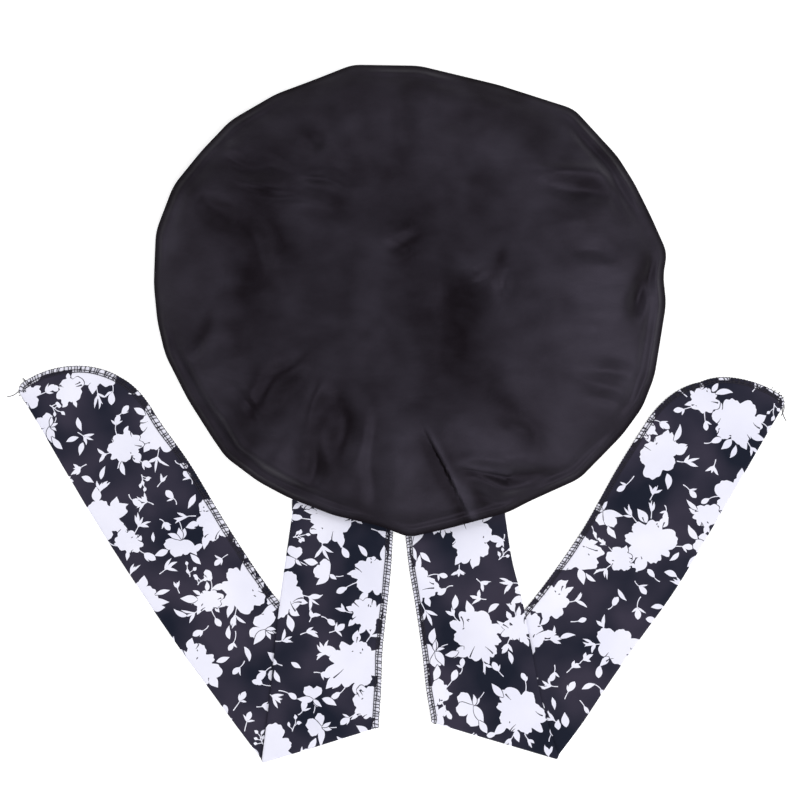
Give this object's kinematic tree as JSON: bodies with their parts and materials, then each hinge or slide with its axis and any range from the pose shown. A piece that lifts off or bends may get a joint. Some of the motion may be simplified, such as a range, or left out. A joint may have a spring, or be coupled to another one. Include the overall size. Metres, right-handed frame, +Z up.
{
  "type": "satin sleep cap with long tie band",
  "caption": "Round gathered satin sleep cap lying crown up, with two long wide floral ties folded and spread out in front.",
  "frame": {"origin": "middle of the whole cap's box, on the surface that it lies on", "axes": "+X along the longest extent, from tie to tie, +Y from the ties to the back of the crown, +Z up out of the surface"},
  "size_m": [0.5666, 0.521, 0.05],
  "materials": {
    "satin": "satin",
    "printed_knit": "matte"
  },
  "bodies": {
    "root": {"crown": "satin", "headband": "printed_knit", "tie_left": "printed_knit", "tie_right": "printed_knit"}
  },
  "joints": []
}
